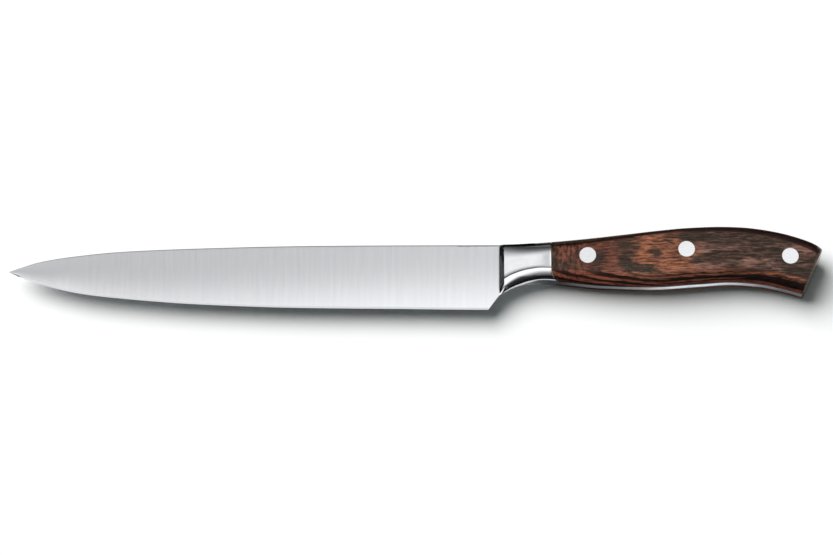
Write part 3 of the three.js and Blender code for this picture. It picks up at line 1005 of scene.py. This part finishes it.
def wood_flat(shader, point, streaks, blotches):
    """The colour of the flat sides: light wood in three tints, with dark figure, and pale specks of painted
    sheen along the crease.
    """
    figure = soft_patches(shader, point, FIGURE)
    figure = shader.math("ADD", figure, FIGURE_BASE)
    figure = varied(shader, figure, blotches, 1.3)
    figure = varied(shader, figure, streaks, 2.3)
    along = shader.add("ShaderNodeSeparateXYZ", {"Vector": point}).outputs[0]
    light = shader.mix_colour(shader.range(along, *ORANGE_START), FRONT_WOOD, ORANGE_WOOD)
    light = shader.mix_colour(shader.range(along, *REAR_START), light, REAR_WOOD)
    figure = shader.math("SUBTRACT", figure, shader.range(along, *REAR_START, 0.0, 0.5))
    flat = shader.mix_colour(shader.range(figure, -0.6, 0.8), DARK_WOOD, light)
    # Pale specks near the crease: a painted highlight standing for the crease's sheen
    sheen_specks = shader.range(shader.noise(shader.stretched(2.6, 3.4, 3.4), detail=3), 0.55, 0.8)
    sheen_specks = shader.math("MULTIPLY", sheen_specks, soft_patches(shader, point, CREASE_SHEEN_PATCHES))
    return shader.mix_colour(sheen_specks, flat, SHEEN_SPECK_COLOUR)


def belly_bands(shader, along, level):
    """The colour of the belly's layers, from one list after another on the way to the butt."""
    sweep = shader.range(along, 0.0, SWEEP_END, 0.0, FRONT_SWEEP, smooth=False)
    front = layers(shader, shader.math("ADD", level, sweep), FRONT_BELLY_LAYERS)
    middle = layers(shader, level, BELLY_LAYERS)
    belly = shader.mix_colour(shader.range(along, *MIDDLE_LIST_START), front, middle)
    rear = layers(shader, level, REAR_BELLY_LAYERS)
    return shader.mix_colour(shader.range(along, *REAR_LIST_START), belly, rear)


def laminated_wood():
    """Resin-filled veneers with a fine streaky grain along the handle."""
    material, shader = new_material("laminated_wood")
    attribute = shader.add("ShaderNodeAttribute", attribute_name=WOOD_PLACE)
    parts = shader.add("ShaderNodeSeparateXYZ", {"Vector": attribute.outputs["Vector"]}).outputs
    along, across, depth = parts[0], parts[1], parts[2]
    place_parts = shader.add("ShaderNodeSeparateXYZ", {"Vector": shader.place()}).outputs
    height = shader.math("SUBTRACT", place_parts[2], float(ORIGIN[2]))
    height = shader.math("DIVIDE", shader.math("ABSOLUTE", height), MM)
    wave = shader.noise(shader.stretched(0.09, 0.2, 0.2), detail=2)
    grain = shader.noise(shader.stretched(0.17, 1.3, 1.3, shift=wave), detail=4, roughness=0.6)
    cross_grain = shader.noise(shader.stretched(0.9, 0.3, 0.9), detail=3)
    fine = shader.noise(shader.stretched(0.5, 2.8, 2.8), detail=3, roughness=0.65)
    blotches = shader.noise(shader.stretched(0.14, 0.4, 0.4), detail=3)
    inputs = {0: shader.range(along, *GRAIN_TURN), 2: cross_grain, 3: grain}
    surface_grain = shader.add("ShaderNodeMix", inputs).outputs[0]
    flat = wood_flat(shader, warped_drawing_point(shader), surface_grain, blotches)
    level = varied(shader, height, wave, 1.8)
    level = varied(shader, level, grain, 0.9)
    belly = belly_bands(shader, along, level)
    belly_side = shader.range(across, *BELLY_START)
    bands = shader.mix_colour(belly_side, layers(shader, depth, BACK_LAYERS), belly)
    rim = shader.range(along, 0.0, 1.0, *DARK_RIM, smooth=False)
    rim = shader.math("MULTIPLY", rim, shader.math("SUBTRACT", 1.0, belly_side))
    edge = varied(shader, shader.math("ADD", depth, rim), grain, 1.0)
    colour = shader.mix_colour(shader.range(edge, 0.04, 0.4), flat, bands)
    streaks = varied(shader, surface_grain, fine, 0.7)
    end_grain = shader.mix_colour(0.3, END_GRAIN, layers(shader, level, BELLY_LAYERS))
    colour = shader.mix_colour(shader.range(along, *BUTT_START), colour, end_grain)
    tone = shader.range(streaks, 0.28, 0.72, 0.35, 1.65)
    colour = shader.mix_colour(1.0, colour, shader.grey(tone), "MULTIPLY")
    surface(
        shader,
        base_color=colour,
        roughness=shader.range(streaks, 0.3, 0.7, 0.36, 0.26),
        specular_ior_level=0.14,
        normal=shader.bump(streaks, 0.02 * MM),
    )
    return material


# The knife
def place(obj, slot, *nodes):
    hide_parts(*nodes)
    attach(obj, "root")


def build_knife():
    wood, rivet = laminated_wood(), rivet_steel()
    finishes = (polished_steel(), satin_steel(), honed_steel())
    forging = add_object("forging", forging_mesh(), *finishes)
    cut(forging, [tang_hole(name) for name in RIVET_SHARES])
    place(forging, "forged_steel", "forged_blade")
    patches = scale_patches()
    scale = add_object("left_wood", patch_mesh("left_wood", patches), wood)
    cut(scale, [scale_hole(name) for name in RIVET_SHARES])
    store_wood_places(scale.data)
    place(scale, "laminated_wood", "left_scale")
    other = scale.data.copy()
    other.name = "right_wood"
    for vertex in other.vertices:
        vertex.co.z = 2 * ORIGIN[2] - vertex.co.z
    other.flip_normals()
    place(add_object("right_wood", other), "laminated_wood", "right_scale")
    for name in RIVET_SHARES:
        post = add_object(f"{name}_post", post_mesh(name), rivet)
        place(post, "rivet_steel", f"{name}_rivet_post")
        sleeve = add_object(f"{name}_sleeve", sleeve_mesh(name), rivet)
        place(sleeve, "rivet_steel", f"{name}_rivet_sleeve")


# Camera: below square on to the side by the tilt, as the photograph's was
CAMERA_TILT = math.radians(20)
CAMERA_LENS = 200
SENSOR_WIDTH = 36
VIEW_WIDTH = 339 * MM
VIEW_CENTRE = Vector((0.42, -3.25, 9.5)) * MM


def add_camera():
    data = bpy.data.cameras.new("camera")
    data.lens = CAMERA_LENS
    data.sensor_width = SENSOR_WIDTH
    camera = bpy.data.objects.new("camera", data)
    distance = VIEW_WIDTH * CAMERA_LENS / SENSOR_WIDTH
    back = Vector((0, -math.sin(CAMERA_TILT), math.cos(CAMERA_TILT)))
    camera.location = VIEW_CENTRE + back * distance
    camera.rotation_euler = (CAMERA_TILT, 0, 0)
    bpy.context.scene.collection.objects.link(camera)
    bpy.context.scene.camera = camera


# Stage and lights
FLOOR_HALF = 8
FLOOR_COLOUR = (0.98, 0.98, 0.98, 1)
TENT_RADIUS = 1.4
TENT_START, TENT_END = -0.9, 1.1
TENT_SEGMENTS = 72
TENT_TOP_STRENGTH = 2.2
# Brightness of the tent at several places along it, against the angle up from the floor on the
# belly's side, in degrees: 90 is overhead, and 180 the floor on the back's side
LOW_LIGHT = [
    (0, 0.05), (4, 0.08), (11, 0.15), (20, 0.28), (29, 0.43), (39, 0.81), (49, 1.33), (58, 1.65),
    (90, 1.65),
]
RIGHT_LOW_LIGHT = [
    (0, 0.03), (20, 0.04), (30, 0.06), (38, 0.14), (44, 0.32), (49.5, 0.8), (56, 1.3), (63, 1.65),
    (90, 1.65),
]
BACK_LIGHT = [(133.5, 0.33), (145, 0.14), (157, 0.06), (180, 0.3)]
RIGHT_HIGH_LIGHT = [
    (97, 2.2), (101.7, 1.95), (103.2, 1.8), (105.1, 1.62), (107.2, 1.5), (108.9, 1.47), (111, 1.47),
    (122, 1.0), *BACK_LIGHT,
]
TENT_LIGHT = {
    -0.35: [
        *LOW_LIGHT,
        (96, 2.2), (103.6, 1.35), (105, 1.05), (106.5, 0.76), (108, 0.72), (109.7, 1.3),
        (111, 1.4), (115, 1.15), (122, 0.77), (133.5, 0.3),
        (145, 0.12), (157, 0.04), (172, 0.03), (176, 0.1), (180, 0.2),
    ],
    -0.28: [
        *LOW_LIGHT,
        (97, 2.2), (101.5, 1.85), (103.6, 1.58), (104.8, 1.3), (106.5, 0.93), (107.9, 0.76),
        (109.7, 0.69), (111, 0.93), (122, 0.8), *BACK_LIGHT,
    ],
    -0.09: [
        *LOW_LIGHT,
        (97, 2.2), (101.5, 2.1), (103.2, 1.9), (104.3, 1.67), (106.1, 1.12), (107.9, 0.88),
        (109.3, 0.83), (111, 0.93), (122, 0.8), *BACK_LIGHT,
    ],
    0.04: RIGHT_LOW_LIGHT + RIGHT_HIGH_LIGHT,
    0.65: [
        (0, 0.03), (20, 0.03), (38, 0.04), (46, 0.12), (53, 0.6), (60, 1.4), (66, 1.65), (90, 1.65),
        *RIGHT_HIGH_LIGHT,
    ],
}
# Black walls at the tent's end beyond the tip, as spans across it
END_WALL_BACK = (-0.15, 0.68)
END_WALL_HEIGHT = 1.1
HIGH_WALL_FRONT = (-0.72, -0.15)
HIGH_WALL_FOOT = 0.52
# Black curtains and strips round the knife, seen only in reflections. The black strips lie on the floor in
# the knife's shadow and are painted shade, darker than that shadow. Places are in the drawing, heights from
# the floor.
SCREEN_STATIONS = 40
KEEL_STRIP_STATIONS = 12
HEEL_SHADE_STATIONS = 8
CURTAIN_GAP = 3.5 * MM
BLADE_CURTAIN = np.array([(-204, 6, 12), (-13, 6, 12), (-10, 6, 15.5), (20, 6, 15.5)]) * MM
BACK_CURTAIN_START = 23.8 * MM
BACK_CURTAIN_HEIGHT = 18 * MM
BACK_GLOW_START = 14 * MM
BACK_GLOW_GAP = 3.3 * MM
BACK_GLOW_HEIGHTS = (5 * MM, 11.5 * MM)
BACK_GLOW_STRENGTH = 0.35
FRONT_CARD_PLACE = -34 * MM
FRONT_CARD_HEIGHT = 15 * MM
FRONT_CARD_SPAN = (-210 * MM, 28 * MM)
FRONT_CURTAIN_START = 23 * MM
FRONT_CURTAIN_GAP = 4.4 * MM
UNDER_SHADE_BACK = 4 * MM
TANG_STRIP_FRONT = 2.85 * MM
KEEL_STRIP_SPAN = (12 * MM, 24.5 * MM)
KEEL_STRIP_REACH = (-1 * MM, 8 * MM)
HEEL_SHADE_SPAN = (-3 * MM, 2.5 * MM)
HEEL_SHADE_REACH = (-2 * MM, 8 * MM)
STRIP_LIFT = 0.3 * MM
STRIP_STRENGTH = 1.3
STRIP_TINT = (0.95, 1, 1.06)
BLACK = (0.018, 0.018, 0.019, 1)
# Brightness of the strip that the tang reflects, against the millimetres along the drawing
STRIP_LIGHT = [
    (12, 0.35), (14, 0.2), (17, 0.1), (20, 0.06), (24, 0.06), (33, 0.17), (41, 0.21), (49, 0.28),
    (57, 0.42), (65, 0.83), (73, 1.15), (81, 1.13), (90, 1.0), (98, 0.7), (106, 0.35), (114, 0.2),
    (131, 0.2),
]
SUN_STRENGTH = 3.65
SUN_SOFTNESS = math.radians(52)
SUN_LEAN = math.radians(20)
SUN_SIDE = math.radians(31)
AMBIENT = 0.11
AMBIENT_COLOUR = (0.84, 1, 0.98, 1)


def grid_object(name, patch, material):
    mesh = bpy.data.meshes.new(name)
    mesh.from_pydata(patch.reshape(-1, 3).tolist(), [], grid_faces(*patch.shape[:2]))
    mesh.shade_smooth()
    obj = add_object(name, mesh, material)
    return obj


def only_in_reflections(obj):
    obj.visible_camera = False
    obj.visible_diffuse = False
    obj.visible_transmission = False
    obj.visible_volume_scatter = False
    obj.visible_shadow = False


def light_by_angle(shader, angle, stops):
    """The brightness that a list of (degrees, brightness) gives for an angle as a share of 180."""
    greys = [(degrees / 180, [light / TENT_TOP_STRENGTH] * 3) for degrees, light in stops]
    return shader.ramp(angle, greys)


def tent_material():
    """Light from the tent's inside, set by the angle round the knife and by the place along it."""
    material, shader = new_material("tent")
    parts = shader.add("ShaderNodeSeparateXYZ", {"Vector": shader.place()}).outputs
    angle = shader.math("ARCTAN2", parts["Z"], shader.math("MULTIPLY", parts["Y"], -1))
    angle = shader.math("DIVIDE", angle, math.pi)
    places = list(TENT_LIGHT)
    light = light_by_angle(shader, angle, TENT_LIGHT[places[0]])
    for before, here in zip(places, places[1:]):
        share = shader.range(parts["X"], before, here)
        light = shader.mix_colour(share, light, light_by_angle(shader, angle, TENT_LIGHT[here]))
    return glow(material, shader, light, TENT_TOP_STRENGTH)


def strip_material():
    """A soft glow that changes along the knife."""
    material, shader = new_material("tang_strip")
    parts = shader.add("ShaderNodeSeparateXYZ", {"Vector": shader.place()}).outputs
    along = shader.math("SUBTRACT", parts[0], float(ORIGIN[0]))
    share = shader.math("DIVIDE", along, HILT_LENGTH)
    stops = [
        (x * MM / HILT_LENGTH, [part * light / STRIP_STRENGTH for part in STRIP_TINT])
        for x, light in STRIP_LIGHT
    ]
    return glow(material, shader, shader.ramp(share, stops), STRIP_STRENGTH)


def rectangle(corner, side_a, side_b):
    corner, side_a, side_b = (np.array(v, float) for v in (corner, side_a, side_b))
    return np.array([[corner, corner + side_b], [corner + side_a, corner + side_a + side_b]])


def in_frame(points):
    """Points at (x, y) in the drawing and a height from the floor, as points in the frame."""
    return np.array(points) + [ORIGIN[0], ORIGIN[1], 0]


def curtain(name, points, material):
    """An upright screen over a line of (x, y, height)."""
    tops = np.asarray(points)
    only_in_reflections(grid_object(name, in_frame([tops * [1, 1, 0], tops]), material))


def belly_strip(name, xs, near, far, material):
    """A level strip just above the floor, between two distances in front of the belly's line."""
    lines = [np.column_stack([xs, belly_at(xs) - gap, 0 * xs + STRIP_LIFT]) for gap in (near, far)]
    only_in_reflections(grid_object(name, in_frame(lines), material))


def add_back_glow(xs):
    """The grey band that the tang reflects along the handle's back."""
    line = np.column_stack([xs, back_at(xs) + BACK_GLOW_GAP])
    low, high = (np.column_stack([line, 0 * xs + z]) for z in BACK_GLOW_HEIGHTS)
    material = glow(*new_material("back_glow"), (1, 1, 1, 1), BACK_GLOW_STRENGTH)
    only_in_reflections(grid_object("back_glow", in_frame([low, high]), material))


def add_dark_screens(black):
    xs = np.linspace(BACK_CURTAIN_START, HILT_LENGTH, SCREEN_STATIONS)
    behind = np.column_stack([xs, back_at(xs) + CURTAIN_GAP, 0 * xs + BACK_CURTAIN_HEIGHT])
    curtain("back_curtain", np.concatenate([BLADE_CURTAIN, behind]), black)
    add_back_glow(np.linspace(BACK_GLOW_START, HILT_LENGTH, SCREEN_STATIONS))
    curtain("front_card", [(x, FRONT_CARD_PLACE, FRONT_CARD_HEIGHT) for x in FRONT_CARD_SPAN], black)
    xs = np.linspace(FRONT_CURTAIN_START, HILT_LENGTH, SCREEN_STATIONS)
    before = np.column_stack([xs, belly_at(xs) - FRONT_CURTAIN_GAP, 0 * xs + FRONT_CARD_HEIGHT])
    curtain("front_curtain", before, black)
    # Painted shade: a black strip on the shadowed floor under the belly, seen only in reflections
    belly_strip("under_shade_strip", xs, -UNDER_SHADE_BACK, TANG_STRIP_FRONT, black)
    light = strip_material()
    belly_strip("tang_strip", xs, TANG_STRIP_FRONT, FRONT_CURTAIN_GAP, light)
    # Painted shade: a black strip on the shadowed floor under the heel, seen only in reflections
    xs = np.linspace(*HEEL_SHADE_SPAN, HEEL_SHADE_STATIONS)
    belly_strip("heel_shade_strip", xs, *HEEL_SHADE_REACH, black)
    xs = np.linspace(*KEEL_STRIP_SPAN, KEEL_STRIP_STATIONS)
    belly_strip("keel_strip", xs, *KEEL_STRIP_REACH, light)


def add_wall(name, span, foot, material):
    near, far = span
    rise = END_WALL_HEIGHT - foot
    wall = rectangle((TENT_START, near, foot), (0, far - near, 0), (0, 0, rise))
    only_in_reflections(grid_object(name, wall, material))


def add_stage():
    half = FLOOR_HALF
    floor = rectangle((-half, -half, 0), (2 * half, 0, 0), (0, 2 * half, 0))
    grid_object("floor", floor, matt_material("floor", FLOOR_COLOUR))
    angles = np.linspace(0, math.pi, TENT_SEGMENTS + 1)
    arch = np.column_stack([0 * angles, -np.cos(angles), np.sin(angles)]) * TENT_RADIUS
    ends = [arch + [x, 0, 0] for x in (TENT_START, TENT_END)]
    only_in_reflections(grid_object("tent", np.array(ends), tent_material()))
    black = matt_material("black_card", BLACK)
    add_wall("end_wall", END_WALL_BACK, 0, black)
    add_wall("high_wall", HIGH_WALL_FRONT, HIGH_WALL_FOOT, black)
    add_dark_screens(black)


def add_sun():
    data = bpy.data.lights.new("sun", "SUN")
    data.energy = SUN_STRENGTH
    data.angle = SUN_SOFTNESS
    sun = bpy.data.objects.new("sun", data)
    towards = Vector((-math.tan(SUN_SIDE), math.tan(SUN_LEAN), 1))
    sun.rotation_euler = towards.to_track_quat("Z", "Y").to_euler()
    sun.visible_glossy = False
    bpy.context.scene.collection.objects.link(sun)


def set_world():
    """White where the camera, a reflection or glass sees it, and a weak fill light elsewhere."""
    world = bpy.data.worlds.new("world")
    bpy.context.scene.world = world
    shader = Shader(world)
    rays = shader.add("ShaderNodeLightPath").outputs
    seen = shader.math("MAXIMUM", rays["Is Camera Ray"], rays["Is Glossy Ray"])
    seen = shader.math("MAXIMUM", seen, rays["Is Transmission Ray"])
    strength = shader.math("MULTIPLY_ADD", seen, 1 - AMBIENT, AMBIENT)
    colour = shader.mix_colour(seen, AMBIENT_COLOUR, (1, 1, 1, 1))
    background = shader.add("ShaderNodeBackground", {"Color": colour, "Strength": strength})
    shader.output("ShaderNodeOutputWorld", Surface=background.outputs[0])


build_knife()
add_camera()
add_stage()
add_sun()
set_world()
bpy.context.scene.view_settings.view_transform = "Standard"
